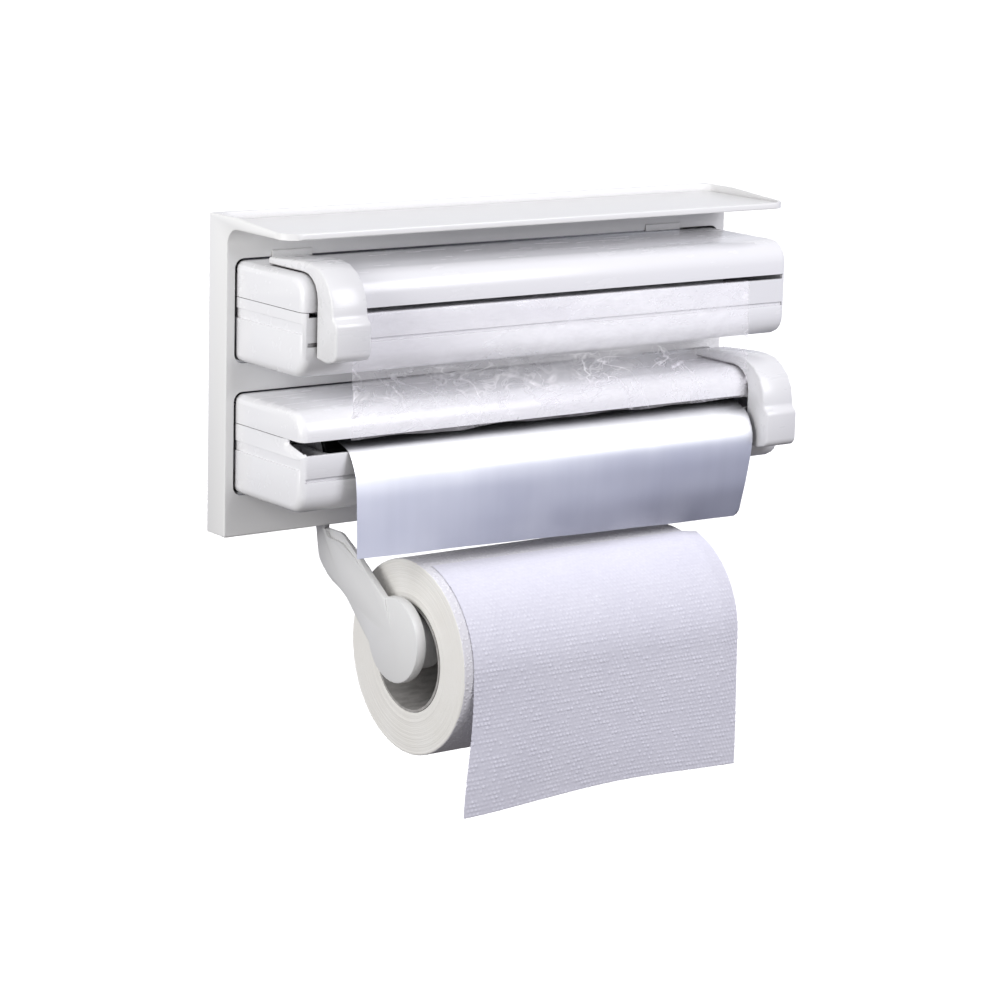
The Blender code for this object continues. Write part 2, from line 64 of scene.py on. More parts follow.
BODY_OF = {
    node: body
    for body, members in frame["record"]["behaviour"]["bodies"].items()
    for node in members
}


# ---------------------------------------------------------------- materials


def set_stops(node, stops):
    """Fills a colour ramp with stops (position, colour)."""
    elements = node.color_ramp.elements
    while len(elements) < len(stops):
        elements.new(0.5)
    for element, (position, colour) in zip(elements, stops):
        element.position = position
        element.color = (*colour, 1.0)


class Look:
    """A node material on one Principled shader, with its detail in object space."""

    def __init__(self, name, colour, roughness, metallic=0.0, **sockets):
        self.material = bpy.data.materials.new(name)
        self.material.use_nodes = True
        self.tree = self.material.node_tree
        self.shader = self.tree.nodes["Principled BSDF"]
        self.set("Base Color", (*colour, 1.0))
        self.set("Roughness", roughness)
        self.set("Metallic", metallic)
        for socket, value in sockets.items():
            self.set(socket.replace("_", " "), value)
        self.place = self.add("ShaderNodeTexCoord").outputs["Object"]

    def set(self, socket, value):
        self.shader.inputs[socket].default_value = value

    def add(self, kind, **settings):
        node = self.tree.nodes.new(kind)
        for setting, value in settings.items():
            setattr(node, setting, value)
        return node

    def join(self, output, target):
        """Links an output to a node's input, or to the shader's input of that name."""
        socket = self.shader.inputs[target] if isinstance(target, str) else target
        self.tree.links.new(output, socket)

    def scaled(self, scale):
        """Object coordinates stretched by a scale on each axis."""
        node = self.add("ShaderNodeMapping")
        node.inputs["Scale"].default_value = scale
        self.join(self.place, node.inputs["Vector"])
        return node.outputs["Vector"]

    def noise(self, scale, detail=3.0, stretch=(1, 1, 1), distortion=0.0):
        node = self.add("ShaderNodeTexNoise")
        node.inputs["Scale"].default_value = scale
        node.inputs["Detail"].default_value = detail
        node.inputs["Distortion"].default_value = distortion
        self.join(self.scaled(stretch), node.inputs["Vector"])
        return node.outputs["Fac"]

    def both(self, operation, first, second):
        """Two values added, multiplied or otherwise put together, held from 0 to 1."""
        node = self.add("ShaderNodeMath", operation=operation, use_clamp=True)
        self.join(first, node.inputs[0])
        self.join(second, node.inputs[1])
        return node.outputs[0]

    def threads(self, scale, width):
        """Fine wandering lines where a noise is near its middle: 1 there, 0 beyond width."""
        level = self.noise(scale, 2.0, (0.55, 1.0, 1.0), 1.1)
        below = self.remap(level, 0.5 - width, 0.5, 0.0, 1.0)
        above = self.remap(level, 0.5, 0.5 + width, 1.0, 0.0)
        return self.both("MULTIPLY", below, above)

    def cells(self, scale, stretch=(1, 1, 1)):
        node = self.add("ShaderNodeTexVoronoi", feature="F1")
        node.inputs["Scale"].default_value = scale
        self.join(self.scaled(stretch), node.inputs["Vector"])
        return node.outputs["Distance"]

    def remap(self, output, low, high, to_low, to_high):
        node = self.add("ShaderNodeMapRange", clamp=True)
        for socket, value in zip(node.inputs[1:5], (low, high, to_low, to_high)):
            socket.default_value = value
        self.join(output, node.inputs[0])
        return node.outputs[0]

    def ramp(self, output, *stops):
        """A colour ramp with stops (position, colour)."""
        node = self.add("ShaderNodeValToRGB")
        set_stops(node, stops)
        self.join(output, node.inputs["Fac"])
        return node.outputs["Color"]

    def multiply(self, first, second, amount=1.0):
        """The first colour darkened by the second."""
        node = self.add("ShaderNodeMix", data_type="RGBA", blend_type="MULTIPLY")
        node.inputs[0].default_value = amount
        self.join(first, node.inputs[6])
        self.join(second, node.inputs[7])
        return node.outputs[2]

    def bump(self, height, strength, distance, under=None):
        node = self.add("ShaderNodeBump")
        node.inputs["Strength"].default_value = strength
        node.inputs["Distance"].default_value = distance
        self.join(height, node.inputs["Height"])
        if under is not None:
            self.join(under, node.inputs["Normal"])
        return node.outputs["Normal"]

    def crevices(self, reach):
        """1 on open surfaces, falling to 0 deep in a gap or a corner."""
        node = self.add("ShaderNodeAmbientOcclusion", samples=6)
        node.inputs["Distance"].default_value = reach
        return node.outputs["AO"]

    def attribute(self, name):
        node = self.add("ShaderNodeAttribute", attribute_name=name)
        return node.outputs["Fac"]


def white_plastic(name, tone, shade, roughness):
    """Injection-moulded polystyrene: even and satin, with painted shade that darkens its narrow
    gaps and corners.
    """
    look = Look(name, tone, roughness, Coat_Weight=0.12, Coat_Roughness=0.1)
    mottle = look.ramp(look.noise(7.0, 2.0), (0.25, shade), (0.75, tone))
    # Painted shade: the colour turns grey in corners and near black deep in narrow gaps, where
    # shade falls.
    painted_gap_shade = look.ramp(
        look.crevices(0.008),
        (0.1, (0.01, 0.008, 0.008)),
        (0.26, (0.2, 0.18, 0.18)),
        (0.42, (0.85, 0.84, 0.84)),
        (0.6, (1, 1, 1)),
    )
    look.join(look.multiply(mottle, painted_gap_shade), "Base Color")
    scuffs = look.noise(160.0, 5.0, (0.25, 1.0, 1.0))
    rough = look.remap(scuffs, 0.3, 0.75, roughness - 0.015, roughness + 0.025)
    look.join(rough, "Roughness")
    peel = look.bump(look.noise(330.0, 2.0), 0.008, 0.0003)
    flow = look.bump(look.noise(12.0, 2.0), 0.012, 0.0012, peel)
    look.join(flow, "Normal")
    return look.material


def steel(name):
    look = Look(name, (0.62, 0.62, 0.63), 0.3, 1.0)
    grain = look.noise(900.0, 4.0, (1.0, 0.08, 1.0))
    look.join(look.ramp(grain, (0.3, (0.5, 0.5, 0.51)), (0.7, (0.68, 0.68, 0.69))), "Base Color")
    look.join(look.remap(grain, 0.3, 0.7, 0.2, 0.42), "Roughness")
    look.join(look.bump(grain, 0.15, 0.0002), "Normal")
    return look.material


def cling_film(name):
    """Thin clear film: glassy where it lies flat, milky and bright where it is crumpled."""
    look = Look(name, (0.95, 0.93, 0.985), 0.16, IOR=1.45, Coat_Weight=0.4, Coat_Roughness=0.08)
    streak = look.noise(34.0, 4.0, (0.12, 1.0, 1.0), 0.3)
    crumple = look.noise(95.0, 3.0, (0.35, 1.0, 0.9), 0.5)
    haze = look.remap(streak, 0.3, 0.72, 0.05, 0.34)
    haze = look.both("ADD", haze, look.remap(crumple, 0.45, 0.8, 0.0, 0.16))
    for scale, width, milkiness in ((46.0, 0.03, 0.6), (105.0, 0.04, 0.3)):
        wrinkle = look.both("MULTIPLY", look.threads(scale, width), look.attribute("crease"))
        haze = look.both("ADD", haze, look.remap(wrinkle, 0.0, 1.0, 0.0, milkiness))
    look.join(haze, "Alpha")
    tone = look.ramp(streak, (0.3, (0.84, 0.8, 0.89)), (0.62, (0.99, 0.98, 1.0)))
    look.join(tone, "Base Color")
    look.join(look.remap(crumple, 0.3, 0.7, 0.12, 0.26), "Roughness")
    broad = look.bump(streak, 0.2, 0.0014)
    look.join(look.bump(crumple, 0.07, 0.0006, broad), "Normal")
    return look.material


def foil(name):
    """Rolled aluminium: frosted, with faint rolling lines, and dark where little light gets in."""
    bright = (0.93, 0.935, 0.965)
    darker = tuple(0.97 * part for part in bright)
    look = Look(name, bright, 0.36, 1.0)
    lines = look.noise(150.0, 4.0, (1.0, 0.04, 0.04))
    tone = look.ramp(lines, (0.3, darker), (0.7, bright))
    under = look.ramp(
        look.crevices(0.03),
        (0.12, (0.04, 0.04, 0.04)),
        (0.42, (0.22, 0.22, 0.22)),
        (0.68, (0.6, 0.6, 0.6)),
        (0.88, (0.97, 0.97, 0.97)),
    )
    look.join(look.multiply(tone, under), "Base Color")
    look.join(look.remap(look.noise(30.0, 4.0), 0.3, 0.7, 0.33, 0.4), "Roughness")
    soft = look.bump(look.noise(14.0, 2.0), 0.12, 0.0012)
    look.join(look.bump(lines, 0.02, 0.0002, soft), "Normal")
    return look.material


def cardboard(name):
    look = Look(name, (0.4, 0.385, 0.375), 0.92)
    fibre = look.noise(330.0, 6.0, (0.4, 1.0, 1.0))
    tone = look.ramp(fibre, (0.3, (0.33, 0.32, 0.31)), (0.7, (0.48, 0.465, 0.455)))
    look.join(tone, "Base Color")
    look.join(look.remap(fibre, 0.3, 0.7, 0.8, 0.98), "Roughness")
    look.join(look.bump(fibre, 0.35, 0.0005), "Normal")
    return look.material


def tissue(name, tone, shade, dots=0.0):
    """Soft absorbent paper: matt and fibrous, with painted shade around its pressed dots, so that
    the dots stand out a little brighter.
    """
    look = Look(name, tone, 0.95, Sheen_Weight=0.25, Sheen_Roughness=0.6)
    fibre = look.noise(520.0, 6.0, (0.6, 1.0, 1.0))
    cloud = look.noise(30.0, 4.0)
    tone_here = look.ramp(cloud, (0.3, shade), (0.7, tone))
    speck = look.ramp(fibre, (0.25, (0.93, 0.93, 0.94)), (0.7, (1, 1, 1)))
    tone_here = look.multiply(tone_here, speck)
    normal = look.bump(fibre, 0.3, 0.0004)
    if dots:
        press = look.remap(look.cells(430.0), 0.15, 0.5, 1.0, 0.0)
        normal = look.bump(press, dots, 0.0006, normal)
    else:
        press = look.attribute("dot")
    # Painted shade: the paper is made darker away from the raised dots, where the embossing would
    # shade it.
    painted_hollow_shade = look.ramp(press, (0.0, (0.88, 0.875, 0.89)), (0.8, (1, 1, 1)))
    look.join(look.multiply(tone_here, painted_hollow_shade), "Base Color")
    look.join(look.remap(fibre, 0.3, 0.7, 0.88, 1.0), "Roughness")
    look.join(normal, "Normal")
    return look.material


def wound_paper(name, axis_y, axis_z):
    """The end of a wound roll: cream, with the edges of its layers as fine rings."""
    look = Look(name, (0.94, 0.93, 0.9), 0.95, Sheen_Weight=0.2, Sheen_Roughness=0.6)
    spread = look.add("ShaderNodeMapping")
    spread.inputs["Location"].default_value = (0.0, -axis_y, -axis_z)
    spread.inputs["Scale"].default_value = (0.0, 1.0, 1.0)
    look.join(look.place, spread.inputs["Vector"])
    rings = look.add("ShaderNodeTexWave", wave_type="RINGS", rings_direction="SPHERICAL")
    rings.inputs["Scale"].default_value = 260.0
    rings.inputs["Distortion"].default_value = 5.0
    rings.inputs["Detail"].default_value = 3.0
    rings.inputs["Detail Scale"].default_value = 1.2
    look.join(spread.outputs["Vector"], rings.inputs["Vector"])
    layer = rings.outputs["Fac"]
    tone = look.ramp(layer, (0.1, (0.925, 0.915, 0.885)), (0.75, (0.945, 0.935, 0.91)))
    cloud = look.ramp(look.noise(40.0, 4.0), (0.3, (0.955, 0.945, 0.93)), (0.7, (1, 1, 1)))
    look.join(look.multiply(tone, cloud), "Base Color")
    look.join(look.bump(layer, 0.14, 0.0004), "Normal")
    return look.material


# ---------------------------------------------------------------- shapes

CREASE_LENGTH = 10.0
CREASE_TILT, CREASE_SPREAD = 4.0, 28.0  # degrees from level


def add_piece(name, mesh, material, body, slot, *replaced):
    """Puts a bmesh in the scene as a piece that rides on a body."""
    data = bpy.data.meshes.new(name)
    mesh.to_mesh(data)
    mesh.free()
    data.materials.append(material)
    obj = bpy.data.objects.new(name, data)
    bpy.context.scene.collection.objects.link(obj)
    data.shade_smooth()
    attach(obj, body)
    if replaced:
        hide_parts(*replaced)
    return obj


def grid(columns, rows, place):
    """A bmesh sheet: place(i, j) gives the point at each column and row."""
    mesh = bmesh.new()
    verts = [[mesh.verts.new(place(i, j)) for j in range(rows)] for i in range(columns)]
    for i in range(columns - 1):
        for j in range(rows - 1):
            mesh.faces.new((verts[i][j], verts[i + 1][j], verts[i + 1][j + 1], verts[i][j + 1]))
    return mesh


def along(path, count):
    """Count points at even steps along a polyline, and its length."""
    points = np.array(path, float)
    steps = np.linalg.norm(np.diff(points, axis=0), axis=1)
    travelled = np.concatenate([[0.0], np.cumsum(steps)])
    at = np.linspace(0.0, travelled[-1], count)
    even = np.column_stack([np.interp(at, travelled, points[:, k]) for k in range(2)])
    return even, travelled[-1]


def rounded(corners, step=6.0):
    """An open path through corners (a, b, radius), with each round corner as an arc."""
    path = []
    for i, (a, b, radius) in enumerate(corners):
        here = Vector((a, b))
        if radius <= 0 or i in (0, len(corners) - 1):
            path.append(tuple(here))
            continue
        before = Vector(corners[i - 1][:2]) - here
        after = Vector(corners[i + 1][:2]) - here
        half = before.angle(after) / 2
        reach = radius / math.tan(half)
        centre = here + (before.normalized() + after.normalized()).normalized() * (
            radius / math.sin(half)
        )
        start = here + before.normalized() * reach - centre
        turn = start.angle_signed(here + after.normalized() * reach - centre)
        parts = max(2, round(abs(math.degrees(turn)) / step))
        for k in range(parts + 1):
            path.append(tuple(centre + Matrix.Rotation(-turn * k / parts, 2) @ start))
    return path


def eased(line, spread):
    """The path with its bends spread over this many points each way."""
    reach = np.arange(-3 * spread, 3 * spread + 1)
    weights = np.exp(-0.5 * (reach / spread) ** 2)
    weights /= weights.sum()
    ahead, behind = line[1] - line[0], line[-1] - line[-2]
    before = line[0] - ahead * np.arange(len(reach) // 2, 0, -1)[:, None]
    after = line[-1] + behind * np.arange(1, len(reach) // 2 + 1)[:, None]
    longer = np.vstack([before, line, after])
    return np.column_stack([np.convolve(longer[:, k], weights, "valid") for k in range(2)])


def smooth(low, high, value):
    """0 at low and 1 at high, with a soft start and end between them."""
    share = np.clip((value - low) / (high - low), 0.0, 1.0)
    return share * share * (3 - 2 * share)


def creases(across, down, seed, count):
    """Ridges of crumpled film over a sheet, from 0 to about 1. Across and down are in mm."""
    chance = np.random.default_rng(seed)
    height = np.zeros_like(across)
    for _ in range(count):
        a = chance.uniform(across.min(), across.max())
        b = chance.uniform(down.min(), down.max())
        turn = math.radians(chance.normal(CREASE_TILT, CREASE_SPREAD))
        long = CREASE_LENGTH * chance.uniform(0.5, 2.2)
        wide = chance.uniform(1.2, 3.0)
        along_it = (across - a) * math.cos(turn) + (down - b) * math.sin(turn)
        off_it = (down - b) * math.cos(turn) - (across - a) * math.sin(turn)
        off_it = off_it + chance.uniform(-0.02, 0.02) * along_it**2 / 4
        ridge = np.exp(-((off_it / wide) ** 2)) * np.exp(-((along_it / long) ** 2))
        height = np.maximum(height, ridge * chance.uniform(0.35, 1.0))
    return height


def waves(across, down, seed, count, lowest, highest):
    """A gentle uneven swell from -1 to 1, from waves of these lengths in mm."""
    chance = np.random.default_rng(seed)
    total = np.zeros_like(across)
    for _ in range(count):
        turn = chance.uniform(0, math.tau)
        length = chance.uniform(lowest, highest)
        phase = chance.uniform(0, math.tau)
        flat = across * math.cos(turn) + down * math.sin(turn)
        total += np.sin(flat * math.tau / length + phase)
    return total / count


# ---------------------------------------------------------------- plastic pieces

EDGE_ANGLE = math.radians(32.0)  # sharper edges than this are rounded over
FLAT_ANGLE = math.radians(0.6)  # faces nearer to level than this are joined
WELD = 3e-6
NOTCH_GAP = 0.3  # how far a catch block swells to each side, in mm
NOTCH_RISE = 0.45  # and how far at its outer end


def refined(node, name, material, width=0.45):
    """A copy of a CAD node as one welded mesh, with its hard edges rounded over."""
    mesh = bmesh.new()
    mesh.from_mesh(NODES[node].data)
    bmesh.ops.remove_doubles(mesh, verts=mesh.verts, dist=WELD)
    bmesh.ops.dissolve_limit(mesh, angle_limit=FLAT_ANGLE, verts=mesh.verts, edges=mesh.edges)
    piece = add_piece(name, mesh, material, BODY_OF[node], "white_plastic", node)
    edge = piece.modifiers.new("edges", "BEVEL")
    edge.width = width * MM
    edge.segments = 3
    edge.limit_method = "ANGLE"
    edge.angle_limit = EDGE_ANGLE
    edge.harden_normals = True
    piece.data.set_sharp_from_angle(angle=EDGE_ANGLE)
    return piece


def fill_notch(block):
    """Swells a catch block until it closes the thin gap around it in the frame."""
    across, _, heights = zip(*block.bound_box)
    low, high = Vector((min(across), min(heights))), Vector((max(across), max(heights)))
    middle = (low.x + high.x) / 2
    up = 1 if high.y > 0 else -1
    outer = high.y if up > 0 else low.y
    for vertex in block.data.vertices:
        vertex.co.x += math.copysign(NOTCH_GAP, vertex.co.x - middle) * MM
        if abs(vertex.co.z - outer) < 2 * NOTCH_RISE * MM:
            vertex.co.z += up * NOTCH_RISE * MM


def paint(node, material):
    """Gives a carried-over CAD node its material."""
    slots = NODES[node].data.materials
    slots.clear()
    slots.append(material)


def build_plastic():
    """The white mouldings, and the plugs and metal parts that stay as they are."""
    shell = white_plastic("frame_white", (0.86, 0.86, 0.86), (0.85, 0.85, 0.845), 0.3)
    cover = white_plastic("cassette_white", (0.86, 0.86, 0.885), (0.85, 0.85, 0.87), 0.26)
    grip = white_plastic("slider_white", (0.79, 0.79, 0.81), (0.78, 0.78, 0.79), 0.28)
    refined("wall_frame", "frame_moulding", shell)
    for level in ("upper", "lower"):
        refined(f"{level}_box", f"{level}_trough", cover)
        refined(f"{level}_lid", f"{level}_cover", cover)
        refined(f"{level}_slider", f"{level}_cutter_grip", grip, 0.6)
        paint(f"{level}_slider_runner", grip)
        paint(f"{level}_slider_blade", steel(f"{level}_blade_steel"))
    for side in ("left", "right"):
        arm = white_plastic(f"{side}_arm_white", (0.85, 0.855, 0.855), (0.84, 0.84, 0.835), 0.36)
        refined(f"roll_arm_{side}", f"{side}_roll_holder", arm, 0.6)
        paint(f"arm_pivot_pin_{side}", steel(f"{side}_arm_pin_steel"))
        for level in ("upper", "lower"):
            paint(f"wall_screw_{level}_{side}", steel(f"{level}_{side}_screw_steel"))
            paint(f"{level}_hinge_pin_{side}", steel(f"{level}_{side}_pin_steel"))
            node = f"cassette_catch_{level}_{side}"
            block = refined(node, f"{level}_{side}_catch_block", shell, 0.15)
            fill_notch(block)
        for prefix in ("cling_film", "foil"):
            paint(f"{prefix}_plug_{side}", cover)


# ---------------------------------------------------------------- rolls in the cassettes


def build_stock_rolls():
    """Materials for the rolls and cores hidden in the cassettes."""
    card = cardboard("core_card")
    paint("cling_film_core", card)
    paint("foil_core", card)
    wound = Look("wound_film", (0.86, 0.87, 0.9), 0.16, Coat_Weight=0.5, Coat_Roughness=0.08)
    bands = wound.noise(60.0, 5.0, (1.0, 0.1, 0.1))
    tone = wound.ramp(bands, (0.35, (0.74, 0.75, 0.79)), (0.65, (0.88, 0.89, 0.92)))
    wound.join(tone, "Base Color")
    wound.join(wound.bump(bands, 0.2, 0.0006), "Normal")
    paint("cling_film_roll", wound.material)
    paint("foil_roll", foil("wound_foil"))


# ---------------------------------------------------------------- cling film

FILM_LEFT, FILM_RIGHT = -153.5, 154.5
FILM_STEP = 1.1
FILM_Y = -96.75
FILM_SLOT_Z = 47.7
FILM_SPLIT_Z = 11.0  # the film above this lies on the upper cassette
FILM_PROUD = 1.05  # how far it comes off its path at most, besides its flare


def film_part(name, path, seed, count, worn, lift, ragged, material, replaced=()):
    """A strip of film along a path of (y, z) in mm, crumpled towards its front.

    Worn says how wrinkled the strip is, from 0 to 1, most of all a little below its top.
    Lift gives how far it comes forward for the distance down it, and ragged how uneven its
    lower edge is.
    """
    rows = int(sum(math.dist(a, b) for a, b in zip(path, path[1:])) / FILM_STEP) + 2
    line, length = along(path, rows)
    columns = int((FILM_RIGHT - FILM_LEFT) / FILM_STEP) + 1
    x = np.linspace(FILM_LEFT, FILM_RIGHT, columns)
    across, down = np.meshgrid(x, np.linspace(0.0, length, rows), indexing="ij")
    fold = creases(across, down, seed, count)
    swell = waves(across, down, seed + 1, 12, 9.0, 60.0)
    ahead = lift(down)
    edge = ragged * waves(across, down * 0, seed + 2, 8, 9.0, 90.0)
    push = ahead * np.clip(0.45 + 0.9 * swell + 0.3 * fold, 0.0, 1.0)
    low = smooth(0.55 * length, length, down)
    y = line[None, :, 0] - push
    z = line[None, :, 1] + edge * low
    points = np.stack([across + 0.4 * swell, y, z], axis=-1)
    mesh = grid(columns, rows, lambda i, j: Vector(points[i, j]) * MM)
    at_edge = np.minimum(across - FILM_LEFT, FILM_RIGHT - across)
    gathered = np.exp(-((at_edge / 4.0) ** 2))
    patchy = np.clip(0.55 + 1.6 * waves(across, down, seed + 3, 7, 30.0, 110.0), 0.1, 1.0)
    band = worn * patchy * (0.3 + 0.7 * np.exp(-(((down - 17.0) / 9.0) ** 2)))
    layer = mesh.verts.layers.float.new("crease")
    mesh.verts.ensure_lookup_table()
    for vert, value in zip(mesh.verts, np.maximum(band, gathered).reshape(-1)):
        vert[layer] = float(value)
    piece = add_piece(name, mesh, material, "upper_cassette", "cling_film", *replaced)
    piece.visible_shadow = False
    return piece, length * MM


def build_film():
    """The film over the front of the upper cassette, and its crumpled skirt below."""
    clear = cling_film("clear_film")
    over = [(-80.0, FILM_SLOT_Z, 0), (FILM_Y, FILM_SLOT_Z, 1.0), (FILM_Y, FILM_SPLIT_Z, 0)]
    front, length = film_part(
        "film_front",
        rounded(over),
        seed=5,
        count=40,
        worn=0.12,
        lift=lambda down: FILM_PROUD * smooth(17.0, 22.0, down),
        ragged=0.0,
        material=clear,
        replaced=("cling_film_tail",),
    )
    skirt, length = film_part(
        "film_skirt",
        [(FILM_Y, FILM_SPLIT_Z), (FILM_Y - 0.2, -8.0), (FILM_Y - 0.4, -28.5)],
        seed=21,
        count=70,
        worn=1.0,
        lift=lambda down: FILM_PROUD + 1.5 * smooth(2.0, 26.0, down),
        ragged=1.6,
        material=clear,
    )
    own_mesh(skirt)


# ---------------------------------------------------------------- foil

FOIL_LEFT, FOIL_RIGHT = -157.0, 151.0
FOIL_STEP = 1.5
FOIL_ROWS = 64
FOIL_CORNER = 5.0  # radius of the lower right corner
FOIL_LEFT_SIDE = [
    (-68.0, -26.2, 0),
    (-84.0, -28.6, 8),
    (-97.0, -35.4, 9),
    (-104.2, -46.5, 12),
    (-105.7, -60.0, 30),
    (-106.4, -80.0, 60),
    (-107.2, -99.5, 0),
]
FOIL_RIGHT_SIDE = [
    (-68.0, -26.2, 0),
    (-86.0, -28.6, 8),
    (-104.6, -36.8, 9),
    (-111.0, -50.0, 14),
    (-110.2, -63.0, 25),
    (-107.5, -86.0, 60),
    (-103.5, -106.0, 0),
]


def build_foil():
    """The hanging foil: a path down each side, blended across, with a soft swell.

    Its left edge is drawn in a little, so that the cutter's grip clears it at its far end.
    """
    columns = int((FOIL_RIGHT - FOIL_LEFT) / FOIL_STEP) + 1
    left, length = along(rounded(FOIL_LEFT_SIDE), FOIL_ROWS)
    right, _ = along(rounded(FOIL_RIGHT_SIDE), FOIL_ROWS)
    left, right = eased(left, 2), eased(right, 2)
    x = np.linspace(FOIL_LEFT, FOIL_RIGHT, columns)
    across, down = np.meshgrid(x, np.linspace(0.0, length, FOIL_ROWS), indexing="ij")
    share = smooth(FOIL_LEFT - 40, FOIL_RIGHT + 25, across)[:, :, None]
    line = left[None] * (1 - share) + right[None] * share
    free = smooth(36.0, 75.0, down)
    swell = waves(across, down, 31, 7, 70.0, 190.0)
    past_side = np.maximum(across - (FOIL_RIGHT - FOIL_CORNER), 0)
    past_end = np.maximum(down - (length - FOIL_CORNER), 0)
    tuck = np.maximum(np.hypot(past_side, past_end) - FOIL_CORNER, 0)
    slant = 4.0 * smooth(FOIL_RIGHT - 60.0, FOIL_RIGHT, across) * smooth(45.0, length, down)
    y = line[:, :, 0] - 0.5 * free * (swell + 1) - 0.15 * tuck
    z = line[:, :, 1] + tuck + 0.5 * free * waves(across, down * 0, 33, 5, 40.0, 160.0)
    drawn_in = 2.5 * smooth(-118.0, FOIL_LEFT, across) * smooth(18.0, 32.0, down)
    points = np.stack([across - 0.6 * tuck - slant + drawn_in, y, z], axis=-1)
    mesh = grid(columns, FOIL_ROWS, lambda i, j: Vector(points[i, j]) * MM)
    sheet = add_piece("foil_sheet", mesh, foil("foil_metal"), "lower_cassette", "foil", "foil_tail")


# ---------------------------------------------------------------- kitchen paper

PAPER_LOW, PAPER_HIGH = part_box("paper_roll")
PAPER_Y = (PAPER_LOW.y + PAPER_HIGH.y) / 2 / MM
PAPER_Z = (PAPER_LOW.z + PAPER_HIGH.z) / 2 / MM
PAPER_R = (PAPER_HIGH.z - PAPER_LOW.z) / 2 / MM
PAPER_HALF = PAPER_HIGH.x / MM
SHEET_LEFT, SHEET_RIGHT = -96.0, 113.0
DOT_STEP = 0.68  # a raised dot every four steps, in staggered rows four steps apart
DOT_HEIGHT = 0.6
WOUND_DEPTH = 26.7  # of paper, from the core to the outside
LAYER_STEP = 0.62
ROLL_SIDES = 144
SHEET_START = math.radians(104.0)  # just in front of the roll's top, which is at 90
SHEET_GAP = 0.55  # off the roll
SHEET_FOOT = -257.0


def build_paper_roll():
    """A turned roll whose end faces show its layers, a little uneven."""
    chance = np.random.default_rng(3)
    inner = PAPER_R - WOUND_DEPTH
    rings = np.concatenate([[inner], np.arange(inner + 0.7, PAPER_R - 1.2, LAYER_STEP)])
    face = chance.normal(0.0, 0.09, len(rings)) - 0.3
    face[0] = -1.2
    profile = [(radius, PAPER_HALF + shift) for radius, shift in zip(rings, face)]
    rim = 1.3
    for k in range(5):
        turn = math.radians(90 * k / 4)
        profile.append(
            (PAPER_R - rim + rim * math.sin(turn), PAPER_HALF - rim + rim * math.cos(turn) - 0.2)
        )
    outline = [(r, x) for r, x in profile] + [(r, -x) for r, x in reversed(profile)]
    mesh = bmesh.new()
    turned = []
    for k in range(ROLL_SIDES):
        turn = math.tau * k / ROLL_SIDES
        sway = 1 + 0.0016 * math.sin(3 * turn + 0.6) + 0.001 * math.sin(7 * turn)
        ring = []
        for r, x in outline:
            radius = min(r * sway, PAPER_R)
            place = (x, PAPER_Y + radius * math.cos(turn), PAPER_Z + radius * math.sin(turn))
            ring.append(mesh.verts.new(Vector(place) * MM))
        turned.append(ring)
    count = len(outline)
    for k in range(ROLL_SIDES):
        one, two = turned[k], turned[(k + 1) % ROLL_SIDES]
        for i in range(count):
            mesh.faces.new((one[i], one[(i + 1) % count], two[(i + 1) % count], two[i]))
    bmesh.ops.recalc_face_normals(mesh, faces=mesh.faces)
    side = tissue("roll_side_paper", (0.89, 0.885, 0.92), (0.86, 0.855, 0.89), 0.5)
    end = wound_paper("roll_end_paper", PAPER_Y * MM, PAPER_Z * MM)
    for face in mesh.faces:
        middle = face.calc_center_median()
        radius = math.hypot(middle.y / MM - PAPER_Y, middle.z / MM - PAPER_Z)
        if abs(middle.x) / MM > PAPER_HALF - 1.6 and radius < PAPER_R - 0.35:
            face.material_index = 1
    roll = add_piece("wound_paper_roll", mesh, side, "paper", "paper", "paper_roll")
    roll.data.materials.append(end)
    paint("paper_core", cardboard("paper_core_card"))


